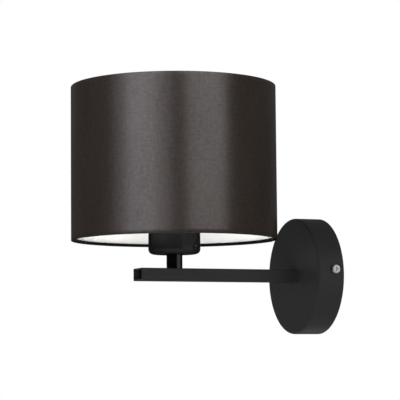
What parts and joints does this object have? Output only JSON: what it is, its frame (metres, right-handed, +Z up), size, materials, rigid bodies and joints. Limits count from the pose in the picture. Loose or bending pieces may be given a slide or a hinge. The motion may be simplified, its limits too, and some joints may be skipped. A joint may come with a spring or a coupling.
{
  "type": "fabric shade wall light",
  "caption": "Wall light with a dark fabric drum shade standing on a flat black arm from a round black wall rose.",
  "frame": {"origin": "centre of the round wall rose on the wall plane", "axes": "+Z up, the wall lies towards +Y and the arm runs along -Y into the room"},
  "size_m": [0.2, 0.2545, 0.2409],
  "materials": {
    "black_coat": "satin black powder coat",
    "black_cup": "satin black paint",
    "black_gloss": "semi-gloss black",
    "black_plastic": "matt black plastic",
    "shade_fabric": "dark brown-grey satin fabric",
    "shade_lining": "white laminate",
    "black_hem": "black edge tape",
    "white_steel": "white paint",
    "bright_screw": "bright nickel",
    "zinc_steel": "zinc plated",
    "brass": "plain brass",
    "white_plastic": "white plastic",
    "cream_block": "insulating block",
    "brown_insulation": "brown insulation",
    "blue_insulation": "blue insulation",
    "earth_insulation": "green and yellow insulation"
  },
  "bodies": {
    "base": {"arm_end_plug": "black_plastic", "arm_flange": "zinc_steel", "arm_tube": "black_coat", "centre_contact": "brass", "cover_studs": "zinc_steel", "earth_lug": "brass", "earth_screw": "brass", "holder_nipple": "zinc_steel", "lamp_shell": "brass", "lampholder_base": "black_plastic", "lampholder_cup": "black_cup", "lampholder_insert": "cream_block", "lampholder_skirt": "black_plastic", "lampholder_terminals": "brass", "nipple_nut": "zinc_steel", "nipple_washer": "zinc_steel", "post_sleeve": "black_gloss", "rose_cover": "black_coat", "stud_nuts": "zinc_steel", "stud_washer": "zinc_steel", "terminal_block": "white_plastic", "terminal_block_screw": "zinc_steel", "terminal_screws": "zinc_steel", "tube_bush": "white_plastic", "wall_strap": "zinc_steel", "wire_earth": "earth_insulation", "wire_live": "brown_insulation", "wire_neutral": "blue_insulation"},
    "shade": {"shade_fabric": "shade_fabric", "shade_lining": "shade_lining", "shade_bottom_hem": "black_hem", "shade_top_hem": "black_hem", "shade_top_ring": "white_steel", "shade_bottom_ring": "white_steel", "shade_fitter": "white_steel"},
    "shade_ring": {"shade_ring": "black_plastic"},
    "cover_screw_right": {"cover_screw_right": "bright_screw"},
    "cover_screw_left": {"cover_screw_left": "bright_screw"},
    "cup_screw": {"cup_screw": "black_gloss"}
  },
  "joints": [
    {"name": "shade_turn", "type": "hinge", "parent": "base", "child": "shade", "pos_m": [0, -0.1545, 0.0512], "axis": [0, 0, 1], "continuous": true},
    {"name": "shade_ring_turn", "type": "hinge", "parent": "base", "child": "shade_ring", "pos_m": [0, -0.1545, 0.0572], "axis": [0, 0, 1], "range_deg": [0, 1080]},
    {"name": "cover_screw_right_turn", "type": "hinge", "parent": "base", "child": "cover_screw_right", "pos_m": [0.0575, -0.0093, 0.0046], "axis": [1, 0, 0], "range_deg": [0, 1800]},
    {"name": "cover_screw_left_turn", "type": "hinge", "parent": "base", "child": "cover_screw_left", "pos_m": [-0.0575, -0.0093, 0.0046], "axis": [-1, 0, 0], "range_deg": [0, 1800]},
    {"name": "cup_screw_turn", "type": "hinge", "parent": "base", "child": "cup_screw", "pos_m": [0, -0.1545, 0.0256], "axis": [0.8746, 0.4848, 0], "range_deg": [0, 1800]}
  ]
}
